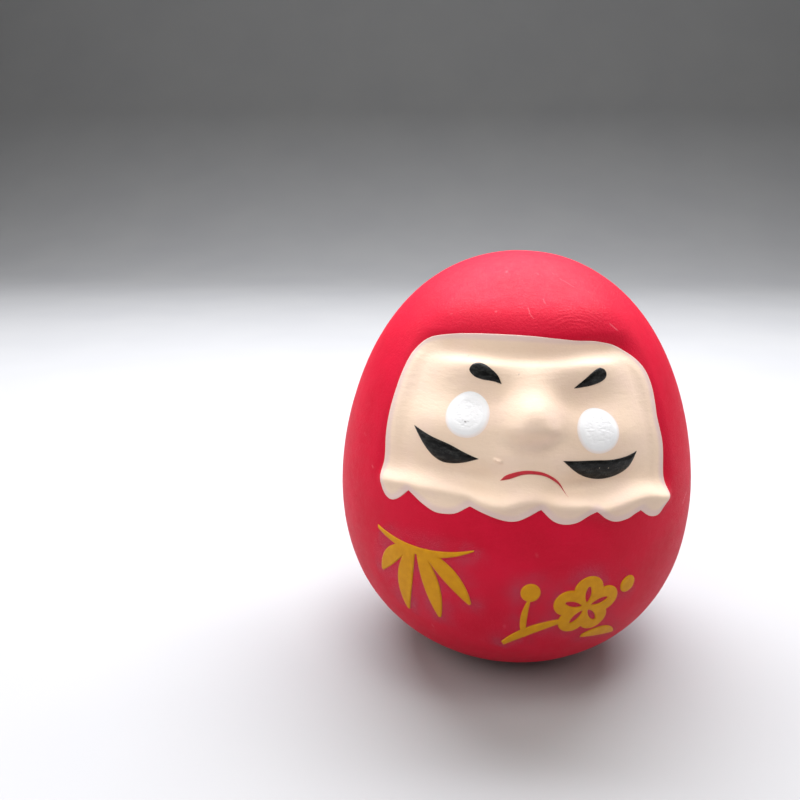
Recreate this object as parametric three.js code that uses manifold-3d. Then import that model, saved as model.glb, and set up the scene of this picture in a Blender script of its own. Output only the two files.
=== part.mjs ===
// Daruma doll: a hollow papier-mache egg in two halves, closed at the foot by a
// clay weight, with a painted face and a gold bamboo-and-plum transfer.
// Millimetres, +Z up, the face looks along -Y, origin at the middle of the foot.
import * as THREE from "three";
import { mergeVertices } from "three/addons/utils/BufferGeometryUtils.js";
import Module from "manifold-3d";

const wasm = await Module();
wasm.setup();

// ---------------------------------------------------------------- dimensions
const EGG_RADIUS = 25.735; // nominal radius; the fullest section comes out at 25.95
const EGG_LENGTH = 61.148; // pole to pole, before the foot is flattened
const EGG_FLAT = 1.148; // height lost to the flat foot
const EGG_SHAPE = [-0.1177, 0.0982, 0.0287]; // taper terms: narrow crown, full belly
const FOOT_RADIUS = 7.6; // flat part of the foot
const WALL = 1.6; // papier-mache wall
const SHELL_FOOT = 4.2; // height of the shell's open lower edge
const HALF_GAP = 0.05; // glue line between the halves, each side of y = 0
const GLUE = 0.05; // glue line under a paper strip or a coat of paint
const COLLAR_THICK = 0.6; // paper collar that laps the two halves inside
const COLLAR_WIDTH = 10;
const COLLAR_FOOT = 9.4;
const STRIP_THICK = 0.35; // paper band over the joint of shell and weight
const STRIP_FOOT = 2.0;
const STRIP_TOP = 6.6;
const SPIGOT_TOP = 8.2; // the weight's spigot, inside the shell
const SPIGOT_PLAY = 0.15;
const FACET_PLAY = 0.3; // keeps the round spigot clear of the shell's flat facets
const WEIGHT_CROWN = 8.9; // domed top of the clay
const COAT = 0.25; // cream face coat
const COAT_TOP = GLUE + COAT;
const EYE_THICK = 0.45;
const INK_THICK = 0.3; // brows and moustache
const LINE_THICK = 0.15; // mouth
const FILM = 0.1; // clear transfer film
const GOLD = 0.12; // gold print on the film
const COLUMNS = 58; // facets round the egg, closer together at the face
const TURNED_COLUMNS = 44; // facets round the weight and the paper band
const DEG = Math.PI / 180;

// ------------------------------------------------------------- the egg form
const clamp01 = (x) => Math.min(1, Math.max(0, x));
const smoothstep = (a, b, x) => {
  const t = clamp01((x - a) / (b - a));
  return t * t * (3 - 2 * t);
};

// t runs from 0 at the crown to PI at the lower pole.
function eggProfile(t) {
  const c = Math.cos(t);
  const [k1, k2, k3] = EGG_SHAPE;
  return {
    r: EGG_RADIUS * Math.sin(t) * (1 + k1 * c + k2 * c * c + k3 * c * c * c),
    z: (EGG_LENGTH / 2) * (1 + c) - EGG_FLAT,
  };
}

function eggNormal(t) {
  const e = 1e-4;
  const a = eggProfile(t - e);
  const b = eggProfile(t + e);
  const dr = b.r - a.r;
  const dz = b.z - a.z;
  const l = Math.hypot(dr, dz);
  return { r: -dz / l, z: dr / l };
}

function tAtHeight(z) {
  return Math.acos((z + EGG_FLAT) / (EGG_LENGTH / 2) - 1);
}

// A point of the egg's profile, moved outwards along its normal.
function offsetProfile(t, off) {
  const p = eggProfile(t);
  const n = eggNormal(t);
  return { r: Math.max(0, p.r + off * n.r), z: p.z + off * n.z };
}

// Radius, at height z below the belly, of the profile moved outwards by `off`.
function radiusAt(z, off) {
  let low = Math.PI / 2;
  let high = Math.PI;
  for (let i = 0; i < 50; i++) {
    const t = (low + high) / 2;
    if (offsetProfile(t, off).z > z) low = t;
    else high = t;
  }
  return offsetProfile(low, off).r;
}

// ---------------------------------------------------------- modelled relief
// The beard's rolled edge: its height at each azimuth in degrees.
const BEARD_AZIMUTH = [
  -60, -45, -39, -33, -27, -21, -17, -13, -9, -6, -2, 3, 7, 12, 16, 20.5, 25, 30, 36, 44, 60,
];
const BEARD_HEIGHT = [
  32.2, 32.2, 32.5, 32.6, 32.8, 32.8, 32.7, 32.1, 31.8, 31.9, 32.4, 32.5, 32.1, 31.9, 31.8, 31.2,
  31.5, 31.8, 31.8, 30.8, 30.6,
];

function beardHeight(az) {
  const xs = BEARD_AZIMUTH;
  const ys = BEARD_HEIGHT;
  const n = xs.length;
  const x = Math.min(xs[n - 1], Math.max(xs[0], az));
  let i = 0;
  while (i < n - 2 && x >= xs[i + 1]) i++;
  const slope = (k) => {
    if (k === 0) return (ys[1] - ys[0]) / (xs[1] - xs[0]);
    if (k === n - 1) return (ys[n - 1] - ys[n - 2]) / (xs[n - 1] - xs[n - 2]);
    const h1 = xs[k] - xs[k - 1];
    const h2 = xs[k + 1] - xs[k];
    return (
      (h1 * h1 * ys[k + 1] + (h2 * h2 - h1 * h1) * ys[k] - h2 * h2 * ys[k - 1]) /
      (h1 * h2 * (h1 + h2))
    );
  };
  const h = xs[i + 1] - xs[i];
  const t = (x - xs[i]) / h;
  return (
    (2 * t ** 3 - 3 * t ** 2 + 1) * ys[i] +
    (t ** 3 - 2 * t ** 2 + t) * h * slope(i) +
    (-2 * t ** 3 + 3 * t ** 2) * ys[i + 1] +
    (t ** 3 - t ** 2) * h * slope(i + 1)
  );
}

// [height, azimuth, z, azimuth spread, spread above, spread below]
const BUMPS = [
  [0.85, -20, 47.8, 10, 1.0, 1.9], // brow ridges
  [0.85, 24, 47.7, 9, 1.0, 1.8],
  [0.35, 2, 47.5, 9, 1.1, 1.6],
  [-0.55, -13.5, 44.9, 6.5, 1.4, 1.5], // eye sockets
  [-0.9, 17.5, 44.5, 6.0, 1.3, 1.4],
  [0.55, 0.6, 45, 4.6, 2.0, 2.0], // bridge of the nose
  [0.85, -27, 40.4, 10.5, 2.1, 2.1], // cheeks
  [0.85, 25, 39.6, 10.5, 2.1, 2.1],
  [-0.75, -25, 35.1, 12, 1.2, 1.1], // hollows under the moustache
  [-0.75, 22, 34.1, 12, 1.2, 1.1],
  [0.4, 0, 37.3, 8, 1.1, 1.1], // upper lip
  [0.4, 1, 34.1, 6.5, 1.2, 1.2], // chin
  [-0.5, -13, 34.1, 4.5, 1.1, 0.8], // creases beside the chin
  [-0.45, 14.5, 33.8, 4.5, 1.1, 0.8],
];

// The nose: a ball that rises slowly from the brow and turns in sharply over the lip.
const NOSE_REACH = 2.8;
const NOSE_HEIGHT = 41.3;
function nose(az, z) {
  const u = Math.abs(az - 0.9);
  const v = z - NOSE_HEIGHT - 0.004 * u * u;
  const low = 1 - smoothstep(-1.3, 1.3, v);
  const across = Math.exp(-0.5 * (u / (5.7 + 0.5 * low)) ** (2.2 + 0.6 * low));
  return NOSE_REACH * across * Math.exp(-0.5 * (Math.abs(v) / (2.35 - 0.92 * low)) ** (2.2 + 0.6 * low));
}

// How far the modelled surface stands off the plain egg, in mm outwards.
function relief(az, z) {
  const a = Math.abs(az);
  let h =
    -1.0 *
    (1 - smoothstep(40, 52, a)) *
    smoothstep(30.2, 33.4, z) *
    (1 - smoothstep(48.2, 51.3, z));
  h += 0.55 * Math.exp(-0.5 * ((z - 53.4) / 1.7) ** 2) * (1 - smoothstep(34, 58, a));
  h -= 0.8 * Math.exp(-0.5 * ((z - 49.6) / 0.8) ** 2) * (1 - smoothstep(30, 46, a));
  for (const [k, az0, z0, sa, up, down] of BUMPS) {
    const s = z > z0 ? up : down;
    h += k * Math.exp(-0.5 * (((az - az0) / sa) ** 2 + ((z - z0) / s) ** 2));
  }
  h +=
    1.0 *
    Math.exp(-0.5 * ((z - beardHeight(az)) / 0.75) ** 2) *
    (1 - smoothstep(43, 50, a));
  return h + nose(az, z);
}

// ------------------------------------------------------------------- solids
function solidOf(geometry) {
  const g = geometry.clone();
  g.deleteAttribute("normal");
  g.deleteAttribute("uv");
  const merged = mergeVertices(g, 1e-4);
  const index = merged.index.array;
  const kept = [];
  for (let i = 0; i < index.length; i += 3) {
    const [a, b, c] = [index[i], index[i + 1], index[i + 2]];
    if (a !== b && b !== c && c !== a) kept.push(a, b, c);
  }
  const at = merged.attributes.position.array;
  let volume = 0;
  for (let i = 0; i < kept.length; i += 3) {
    const [a, b, c] = [3 * kept[i], 3 * kept[i + 1], 3 * kept[i + 2]];
    volume +=
      at[a] * (at[b + 1] * at[c + 2] - at[b + 2] * at[c + 1]) +
      at[a + 1] * (at[b + 2] * at[c] - at[b] * at[c + 2]) +
      at[a + 2] * (at[b] * at[c + 1] - at[b + 1] * at[c]);
  }
  if (volume < 0)
    for (let i = 0; i < kept.length; i += 3) [kept[i + 1], kept[i + 2]] = [kept[i + 2], kept[i + 1]];
  return new wasm.Manifold(
    new wasm.Mesh({
      numProp: 3,
      vertProperties: new Float32Array(at),
      triVerts: new Uint32Array(kept),
    }),
  );
}

function geometryOf(solid) {
  const m = solid.getMesh();
  const g = new THREE.BufferGeometry();
  const v = new Float32Array(m.numVert * 3);
  for (let i = 0; i < m.numVert; i++)
    for (let k = 0; k < 3; k++) v[3 * i + k] = m.vertProperties[i * m.numProp + k];
  g.setAttribute("position", new THREE.BufferAttribute(v, 3));
  g.setIndex(new THREE.BufferAttribute(new Uint32Array(m.triVerts), 1));
  g.computeVertexNormals();
  return g;
}

function block(x0, x1, y0, y1, z0, z1) {
  const g = new THREE.BoxGeometry(x1 - x0, y1 - y0, z1 - z0);
  g.translate((x0 + x1) / 2, (y0 + y1) / 2, (z0 + z1) / 2);
  return solidOf(g);
}

// A solid of revolution about Z from [r, z] pairs that close on the axis or on themselves.
function turned(pairs, segments = TURNED_COLUMNS) {
  const g = new THREE.LatheGeometry(
    pairs.map(([r, z]) => new THREE.Vector2(r, z)),
    segments,
  );
  g.rotateX(Math.PI / 2);
  return solidOf(g);
}

// Rows of the egg's skin: t from the crown to the lower pole, closest at the face.
function rows(face, beard, rest) {
  const marks = [0, tAtHeight(54.6), tAtHeight(33.6), tAtHeight(29.6), Math.PI];
  const steps = [rest[0], face, beard, rest[1]];
  const ts = [];
  for (let k = 0; k < 4; k++)
    for (let i = 0; i < steps[k]; i++)
      ts.push(marks[k] + ((marks[k + 1] - marks[k]) * i) / steps[k]);
  ts.push(Math.PI);
  return ts;
}

// The egg as a closed skin with its modelled relief, moved outwards by `off`.
// Its columns crowd towards the face: azimuth = u - k sin(u).
function skin(off, columns, ts, crowd) {
  const g = new THREE.LatheGeometry(
    ts.map((t) => {
      const p = eggProfile(t);
      return new THREE.Vector2(p.r, p.z);
    }),
    columns,
  );
  const position = g.attributes.position;
  const n = ts.length;
  for (let i = 0; i <= columns; i++) {
    const u = ((i % columns) / columns) * 2 * Math.PI - Math.PI;
    const az = u - crowd * Math.sin(u);
    for (let j = 0; j < n; j++) {
      const t = ts[j];
      const pole = j === 0 || j === n - 1;
      const p = eggProfile(t);
      const normal = pole ? { r: 0, z: j === 0 ? 1 : -1 } : eggNormal(t);
      const h = off + (pole ? 0 : relief(az / DEG, p.z));
      const r = pole ? 0 : p.r + h * normal.r;
      position.setXYZ(i * n + j, r * Math.sin(az), -r * Math.cos(az), p.z + h * normal.z);
    }
  }
  return solidOf(g);
}

const FINE_ROWS = rows(20, 8, [5, 11]);
const COARSE_ROWS = rows(9, 2, [4, 8]);
const outer = (off) => skin(off, COLUMNS, FINE_ROWS, 0.42);
const inner = (off) => skin(off, 34, COARSE_ROWS, 0.3);

// --------------------------------------------------------- painted outlines
// Where a point of the modelled surface shows from the front: [x, z].
function seenAt(az, z, off = 0.2) {
  const t = tAtHeight(z);
  const p = eggProfile(t);
  const n = eggNormal(t);
  const h = relief(az, z) + off;
  return new THREE.Vector2((p.r + h * n.r) * Math.sin(az * DEG), p.z + h * n.z);
}

// A smooth closed outline through [azimuth, z] points; a third entry marks a corner.
function smoothOutline(points, per = 3) {
  const n = points.length;
  const corners = points.map((p, i) => (p[2] ? i : -1)).filter((i) => i >= 0);
  const at = (p) => new THREE.Vector3(p[0], p[1] * 2.2, 0); // evens out degrees and mm
  const out = [];
  const sample = (curve, count) => {
    for (let i = 0; i < count; i++) {
      const q = curve.getPoint(i / count);
      out.push([q.x, q.y / 2.2]);
    }
  };
  if (!corners.length) {
    sample(new THREE.CatmullRomCurve3(points.map(at), true, "centripetal"), n * per);
    return out;
  }
  corners.forEach((from, k) => {
    const to = corners[(k + 1) % corners.length];
    const count = (to - from + n) % n || n;
    const run = [];
    for (let i = 0; i <= count; i++) run.push(at(points[(from + i) % n]));
    sample(new THREE.CatmullRomCurve3(run, false, "centripetal"), count * per);
  });
  return out;
}

// The column of space in front of the doll behind an outline on its surface.
function column(outline) {
  const shape = new THREE.Shape(outline.map(([az, z]) => seenAt(az, z)));
  const g = new THREE.ExtrudeGeometry(shape, { depth: 40, bevelEnabled: false });
  g.rotateX(Math.PI / 2);
  g.translate(0, -2, 0);
  return solidOf(g);
}

const layer = (from, to) => outer(to).subtract(outer(from));
const painted = (outlines, from, to) => {
  let area = column(outlines[0]);
  for (const o of outlines.slice(1)) area = area.add(column(o));
  return layer(from, to).intersect(area);
};

const ellipse = (az, z, ra, rz, count = 20) =>
  Array.from({ length: count }, (_, i) => {
    const a = (i / count) * 2 * Math.PI;
    return [az + ra * Math.cos(a), z + rz * Math.sin(a)];
  });

// Cream face with its scalloped beard edge.
const FACE = [
  [-40, 50.5], [-30, 51.0], [-15, 51.25], [-1, 51.2], [10, 50.95], [19, 50.7], [29, 50.5],
  [37.5, 49.95], [42.4, 49.1], [45.9, 47.9], [48.2, 46.3], [48.7, 44.3], [48.0, 42.3],
  [47.3, 40.6], [47.6, 37.2], [46.9, 33.6], [46.1, 30.8], [44.7, 29.3], [42.6, 28.5],
  [40.4, 28.4], [37.6, 28.8], [34.3, 29.85, 1], [32.2, 29.6], [29.7, 29.2], [25.5, 29.1],
  [22.6, 29.6], [18.6, 30.95, 1], [13.8, 29.65], [10.2, 29.45], [7.0, 29.9], [3.4, 31.4, 1],
  [-0.6, 30.35], [-2.9, 29.9], [-5.3, 29.8], [-8.4, 30.05], [-12.2, 30.6], [-16.1, 31.2, 1],
  [-20.4, 30.0], [-24.2, 29.7], [-26.6, 29.75], [-31, 30.5], [-35.6, 31.6, 1],
  [-39.6, 30.0], [-42.2, 29.6], [-44.4, 29.9], [-46.1, 30.7], [-47.7, 32.6], [-47.8, 34.2],
  [-48.9, 38.4], [-49.5, 43.5], [-49.5, 45.9], [-48.5, 48.2], [-46.1, 49.5], [-43.2, 50.15],
];
const BROW_LEFT = [
  [-21.3, 47.15], [-20.6, 47.75], [-18.6, 48.05], [-16.2, 47.95], [-13.4, 47.45], [-11, 46.8],
  [-9.6, 45.95, 1], [-12.6, 46.2], [-16.6, 46.3], [-19.4, 46.55],
];
const BROW_RIGHT = [
  [28.1, 46.75], [27.4, 47.2], [25.6, 47.45], [23.0, 47.15], [20.4, 46.6], [17.9, 46.05],
  [15.7, 45.55, 1], [19, 45.6], [22.4, 45.7], [25.6, 45.95], [27.5, 46.3],
];
const MOUSTACHE_LEFT = [
  [-37.6, 39.75, 1], [-34.6, 38.4], [-31.8, 37.15], [-29.6, 36.4], [-27, 35.95], [-23.6, 35.95],
  [-19.6, 36.3], [-14.9, 37.0, 1], [-19.4, 37.6], [-24, 38.3], [-30.3, 38.9],
];
const MOUSTACHE_RIGHT = [
  [9.9, 37.15, 1], [13.2, 35.95], [16.2, 35.15], [20.2, 34.55], [24.6, 34.4], [28.9, 34.7],
  [32.2, 35.4], [35.3, 37.25, 1], [31.6, 36.9], [26, 36.75], [19.6, 36.95], [14, 37.05],
];
const MOUTH = [
  [-8.3, 34.55, 1], [-6.7, 35.25], [-2, 35.95], [1.2, 36.0], [4.4, 35.75], [7.9, 34.95],
  [9.7, 34.15], [11.3, 32.7, 1], [9.4, 34.0], [7.4, 34.7], [4.5, 35.35], [0.9, 35.58],
  [-2, 35.45], [-5.6, 34.85],
];

// ------------------------------------------------------------ gold transfer
// Motifs are drawn in mm across (u) and up (v) from their middle.
const spread = ([az0, z0], list) => list.map(([u, v]) => [az0 + u * 2.24, z0 + v]);

// A brush stroke: a bowed, tapering leaf from a to b.
function leaf(a, b, width, bow = 0, count = 7, blunt = 0.15) {
  const dx = b[0] - a[0];
  const dy = b[1] - a[1];
  const l = Math.hypot(dx, dy);
  const nx = -dy / l;
  const ny = dx / l;
  const left = [];
  const right = [];
  for (let i = 0; i <= count; i++) {
    const s = i / count;
    const mid = 4 * s * (1 - s) * bow;
    const w = (width / 2) * (Math.sin(Math.PI * Math.min(1, s * 0.92 + 0.04)) ** 0.8 + blunt * (1 - s));
    const x = a[0] + dx * s + nx * mid;
    const y = a[1] + dy * s + ny * mid;
    left.push([x + nx * w, y + ny * w]);
    right.unshift([x - nx * w, y - ny * w]);
  }
  return left.concat(right);
}

const BAMBOO_AT = [-30.5, 19.2];
const BAMBOO = [
  leaf([-7.4, 5.9], [7.2, 6.3], 0.95, -1.5, 8, 0.3),
  leaf([-1.9, 4.9], [-7.3, -0.6], 2.0, -0.5),
  leaf([-1.2, 5.0], [-3.6, -5.8], 2.3, -0.5),
  leaf([-0.3, 5.0], [2.0, -5.2], 2.3, 0.5),
  leaf([0.5, 5.0], [6.7, -1.7], 2.1, 0.6),
];
const PLUM_AT = [13.5, 16.6];
const PLUM_MIDDLE = [2.3, 0.9];
const petal = (k, reach, size, count = 14) => {
  const a = (90 + 72 * k) * DEG;
  return Array.from({ length: count }, (_, i) => {
    const b = (i / count) * 2 * Math.PI;
    return [
      PLUM_MIDDLE[0] + reach * Math.cos(a) + size * Math.cos(b),
      PLUM_MIDDLE[1] + reach * Math.sin(a) + size * Math.sin(b),
    ];
  });
};
const stamen = (k) => {
  const a = (90 + 72 * k) * DEG;
  const at = (r) => [PLUM_MIDDLE[0] + r * Math.cos(a), PLUM_MIDDLE[1] + r * Math.sin(a)];
  return leaf(at(3.1), at(0.75), 0.75, 0, 5);
};
const disc = (u, v, ru, rv, count = 12) =>
  Array.from({ length: count }, (_, i) => {
    const b = (i / count) * 2 * Math.PI;
    return [u + ru * Math.cos(b), v + rv * Math.sin(b)];
  });
const BUD = disc(8.2, 3.2, 1.15, 1.25);
const PLUM = [
  disc(-5.3, 3.6, 1.25, 1.35),
  ...[0, 1, 2, 3, 4].map((k) => petal(k, 2.65, 2.0)),
  petal(0, 0, 1.6, 12),
  leaf([-8.6, -5.6], [0.6, -0.9], 1.15, 0.9, 7, 0.5),
  leaf([-5.6, -4.0], [-5.2, 3.1], 0.7, 0.5, 6, 0.5),
];
const LEAF_RIGHT = leaf([3.0, -4.6], [9.4, -5.6], 1.7, 0.7);
const FILM_EDGE = [
  [-50.5, 21], [-48, 24.2], [-42, 26.6], [-33, 27.3], [-22, 27.3], [-13, 26.6], [-8, 24.6],
  [0, 23.7], [10, 24.5], [20, 24.6], [29, 23.2], [35.5, 19.4], [38, 14.6], [36.4, 10.6],
  [29, 8.8], [18, 9.3], [6, 9.3], [-6, 9.6], [-16, 11.2], [-28, 12.2], [-39, 12.4],
  [-47, 14.2], [-50.6, 17.4],
];

// -------------------------------------------------------------- the pieces
const made = [];
function piece(name, solid, material) {
  const mesh = new THREE.Mesh(geometryOf(solid), material);
  mesh.name = name;
  made.push(mesh);
  return mesh;
}
const paint = (color, roughness) =>
  new THREE.MeshStandardMaterial({ color, roughness, metalness: 0 });
const RED = paint(0xc4142c, 0.62);
const PAPER = paint(0xb9a88a, 0.9);
const CLAY = paint(0x8d7a66, 0.95);
const CREAM = paint(0xecd3b2, 0.68);
const WHITE = paint(0xf4f1ee, 0.8);
const INK = paint(0x16181a, 0.45);
const LIP = paint(0xb4132a, 0.5);
const CLEAR = new THREE.MeshStandardMaterial({
  color: 0xd9c4cf,
  roughness: 0.35,
  metalness: 0,
  transparent: true,
  opacity: 0.25,
});
const GILT = paint(0xc58a16, 0.5);

// Band over the joint between shell and weight, and the rebate that it lies in.
function band(from, to, low, high, count = 3) {
  const ts = Array.from(
    { length: count + 1 },
    (_, i) => tAtHeight(low) + ((tAtHeight(high) - tAtHeight(low)) * i) / count,
  );
  const face = ts.map((t) => offsetProfile(t, to)).map((p) => [p.r, p.z]);
  const back = ts.map((t) => offsetProfile(t, from)).map((p) => [p.r, p.z]);
  return turned([...face, ...back.reverse(), face[0]]);
}
const rebate = band(-STRIP_THICK - GLUE, 1.5, STRIP_FOOT - GLUE, STRIP_TOP + GLUE);

const wall = outer(0)
  .subtract(inner(-WALL))
  .subtract(block(-40, 40, -40, 40, -10, SHELL_FOOT))
  .subtract(rebate);
const shellFront = wall.intersect(block(-40, 40, -40, -HALF_GAP, -10, 80));
const shellBack = wall.intersect(block(-40, 40, HALF_GAP, 40, -10, 80));
const collar = inner(-WALL - GLUE)
  .subtract(inner(-WALL - GLUE - COLLAR_THICK))
  .intersect(block(-40, 40, -COLLAR_WIDTH / 2, COLLAR_WIDTH / 2, COLLAR_FOOT, 80));

// Clay weight: flat foot, egg-shaped flank, a ledge for the shell and a spigot inside it.
const ledge = SHELL_FOOT - 0.1;
const flank = [];
for (let i = 0; i <= 3; i++) {
  const z = 0.75 + ((ledge - 0.75) * i) / 3;
  flank.push([eggProfile(tAtHeight(z)).r, z]);
}
const spigot = [];
for (let i = 0; i <= 3; i++) {
  const z = ledge + ((SPIGOT_TOP - ledge) * i) / 3;
  spigot.push([radiusAt(z, -WALL - SPIGOT_PLAY) - FACET_PLAY, z]);
}
const weight = turned([
  [0, 0],
  [FOOT_RADIUS, 0],
  [FOOT_RADIUS + 0.9, 0.16],
  ...flank,
  ...spigot,
  [spigot[3][0] - 1.6, SPIGOT_TOP + 0.45],
  [6, WEIGHT_CROWN - 0.1],
  [0, WEIGHT_CROWN],
]).subtract(rebate);

const shell = new THREE.Group();
shell.name = "shell";
shell.add(
  piece("shell_front", shellFront, RED),
  piece("shell_back", shellBack, RED),
  piece("joint_collar", collar, PAPER),
  piece("base_weight", weight, CLAY),
  piece("base_strip", band(-STRIP_THICK, 0, STRIP_FOOT, STRIP_TOP), RED),
);

const face = new THREE.Group();
face.name = "face";
face.add(
  piece("face_coat", painted([smoothOutline(FACE)], GLUE, COAT_TOP), CREAM),
  piece("eye_left", painted([ellipse(-20.0, 42.1, 7.2, 2.72)], COAT_TOP + GLUE, COAT_TOP + GLUE + EYE_THICK), WHITE),
  piece("eye_right", painted([ellipse(21.5, 40.4, 6.9, 2.72)], COAT_TOP + GLUE, COAT_TOP + GLUE + EYE_THICK), WHITE),
);
for (const [name, points] of [
  ["brow_left", BROW_LEFT],
  ["brow_right", BROW_RIGHT],
  ["moustache_left", MOUSTACHE_LEFT],
  ["moustache_right", MOUSTACHE_RIGHT],
])
  face.add(
    piece(name, painted([smoothOutline(points, 2)], COAT_TOP + GLUE, COAT_TOP + GLUE + INK_THICK), INK),
  );
face.add(
  piece("mouth", painted([smoothOutline(MOUTH, 2)], COAT_TOP + GLUE, COAT_TOP + GLUE + LINE_THICK), LIP),
);

const transfer = new THREE.Group();
transfer.name = "transfer";
const gold = (motif, at) =>
  painted(motif.map((m) => spread(at, m)), GLUE * 2 + FILM, GLUE * 2 + FILM + GOLD);
let plum = gold(PLUM, PLUM_AT);
for (let k = 0; k < 5; k++) plum = plum.subtract(column(spread(PLUM_AT, stamen(k))));
transfer.add(
  piece("transfer_film", painted([smoothOutline(FILM_EDGE, 2)], GLUE, GLUE + FILM), CLEAR),
  piece("gold_bamboo", gold(BAMBOO, BAMBOO_AT), GILT),
  piece("gold_plum", plum, GILT),
  piece("gold_bud", gold([BUD], PLUM_AT), GILT),
  piece("gold_leaf", gold([LEAF_RIGHT], PLUM_AT), GILT),
);

const daruma = new THREE.Group();
daruma.name = "daruma_doll";
daruma.add(shell, face, transfer);

export default daruma;
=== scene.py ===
"""Daruma doll: fine meshes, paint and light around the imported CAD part.

The doll is an egg with modelled relief. A point of its skin is named by its azimuth in degrees (0 in front, positive
towards +X) and the height in millimetres of the plain egg below it. Everything is worked out in millimetres and
handed to Blender in metres.
"""
import math

import bmesh
import bpy
import numpy as np
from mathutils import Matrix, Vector
from mathutils.geometry import delaunay_2d_cdt


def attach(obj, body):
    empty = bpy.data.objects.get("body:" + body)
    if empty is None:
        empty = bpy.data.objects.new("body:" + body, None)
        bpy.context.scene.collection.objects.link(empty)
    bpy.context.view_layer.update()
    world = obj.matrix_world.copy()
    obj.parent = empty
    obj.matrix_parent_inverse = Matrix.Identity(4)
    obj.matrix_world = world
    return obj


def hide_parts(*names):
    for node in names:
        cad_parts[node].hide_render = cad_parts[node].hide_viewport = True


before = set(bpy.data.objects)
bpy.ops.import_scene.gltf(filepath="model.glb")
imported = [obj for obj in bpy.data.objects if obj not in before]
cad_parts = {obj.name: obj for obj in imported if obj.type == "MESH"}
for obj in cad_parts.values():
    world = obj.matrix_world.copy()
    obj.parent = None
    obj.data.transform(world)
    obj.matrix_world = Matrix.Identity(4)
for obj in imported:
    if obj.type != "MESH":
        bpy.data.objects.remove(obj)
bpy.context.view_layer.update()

MM = 0.001
DEG = math.pi / 180

# ------------------------------------------------------------------ the egg
EGG_RADIUS = 25.735
EGG_LENGTH = 61.148
EGG_FLAT = 1.148
EGG_SHAPE = (-0.1177, 0.0982, 0.0287)
SKIN = -0.025  # the fine skin lies this far inside the faceted one's corners
WALL = 1.6
STRIP_FOOT = 2.0
STRIP_TOP = 6.6
SHELL_FOOT = 4.2
FOOT_RADIUS = 7.6


def t_at(z):
    return np.arccos(np.clip((np.asarray(z, float) + EGG_FLAT) / (EGG_LENGTH / 2) - 1, -1, 1))


def egg(t):
    c, s = np.cos(t), np.sin(t)
    k1, k2, k3 = EGG_SHAPE
    f = 1 + k1 * c + k2 * c * c + k3 * c**3
    df = k1 + 2 * k2 * c + 3 * k3 * c * c
    r = EGG_RADIUS * s * f
    z = EGG_LENGTH / 2 * (1 + c) - EGG_FLAT
    dr = EGG_RADIUS * (c * f - s * s * df)
    dz = -EGG_LENGTH / 2 * s
    n = np.hypot(dr, dz)
    return r, z, -dz / n, dr / n


def arc_table():
    t = np.linspace(0, math.pi, 4001)
    r, z, _, _ = egg(t)
    s = np.concatenate([[0], np.cumsum(np.hypot(np.diff(r), np.diff(z)))])
    return z[::-1], (s[-1] - s)[::-1]


ARC_Z, ARC_S = arc_table()


def arc(z):
    return np.interp(z, ARC_Z, ARC_S)


def z_of_arc(s):
    return np.interp(s, ARC_S, ARC_Z)


# ------------------------------------------------------------------- noise
_rng = np.random.RandomState(29)
_perm = _rng.permutation(256)
_perm = np.concatenate([_perm, _perm, _perm])
_grad = _rng.normal(size=(256, 3))
_grad /= np.linalg.norm(_grad, axis=1)[:, None]


def noise(x, y, z):
    """Gradient noise, about -1 to 1, one lump per unit."""
    x, y, z = np.broadcast_arrays(np.asarray(x, float), y, z)
    xi, yi, zi = (np.floor(a).astype(int) for a in (x, y, z))
    xf, yf, zf = x - xi, y - yi, z - zi
    u, v, w = (a * a * a * (a * (a * 6 - 15) + 10) for a in (xf, yf, zf))
    out = 0
    for i in (0, 1):
        for j in (0, 1):
            for k in (0, 1):
                h = _perm[_perm[_perm[(xi + i) & 255] + ((yi + j) & 255)] + ((zi + k) & 255)]
                g = _grad[h]
                d = g[..., 0] * (xf - i) + g[..., 1] * (yf - j) + g[..., 2] * (zf - k)
                wt = (u if i else 1 - u) * (v if j else 1 - v) * (w if k else 1 - w)
                out = out + wt * d
    return out * 1.6


# ------------------------------------------------------------------ relief
BEARD_AZIMUTH = np.array([-60, -45, -39, -33, -27, -21, -17, -13, -9, -6, -2, 3, 7, 12, 16, 20.5, 25, 30, 36, 44, 60], float)
BEARD_HEIGHT = np.array(
    [32.2, 32.2, 32.5, 32.6, 32.8, 32.8, 32.7, 32.1, 31.8, 31.9, 32.4, 32.5, 32.1, 31.9, 31.8, 31.2, 31.5, 31.8, 31.8, 30.8, 30.6]
)
BUMPS = [
    # height, azimuth, z, azimuth spread, spread above, spread below
    (0.85, -20, 47.8, 10, 1.0, 1.9),  # brow ridges
    (0.85, 24, 47.7, 9, 1.0, 1.8),
    (0.35, 2, 47.5, 9, 1.1, 1.6),
    (-0.55, -13.5, 44.9, 6.5, 1.4, 1.5),  # eye sockets
    (-0.9, 17.5, 44.5, 6.0, 1.3, 1.4),
    (0.55, 0.6, 45, 4.6, 2.0, 2.0),  # bridge of the nose
    (0.85, -27, 40.4, 10.5, 2.1, 2.1),  # cheeks
    (0.85, 25, 39.6, 10.5, 2.1, 2.1),
    (-0.75, -25, 35.1, 12, 1.2, 1.1),  # hollows under the moustache
    (-0.75, 22, 34.1, 12, 1.2, 1.1),
    (0.4, 0, 37.3, 8, 1.1, 1.1),  # upper lip
    (0.4, 1, 34.1, 6.5, 1.2, 1.2),  # chin
    (-0.5, -13, 34.1, 4.5, 1.1, 0.8),  # creases beside the chin
    (-0.45, 14.5, 33.8, 4.5, 1.1, 0.8),
]


def smoothstep(a, b, x):
    t = np.clip((np.asarray(x, float) - a) / (b - a), 0, 1)
    return t * t * (3 - 2 * t)


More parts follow.
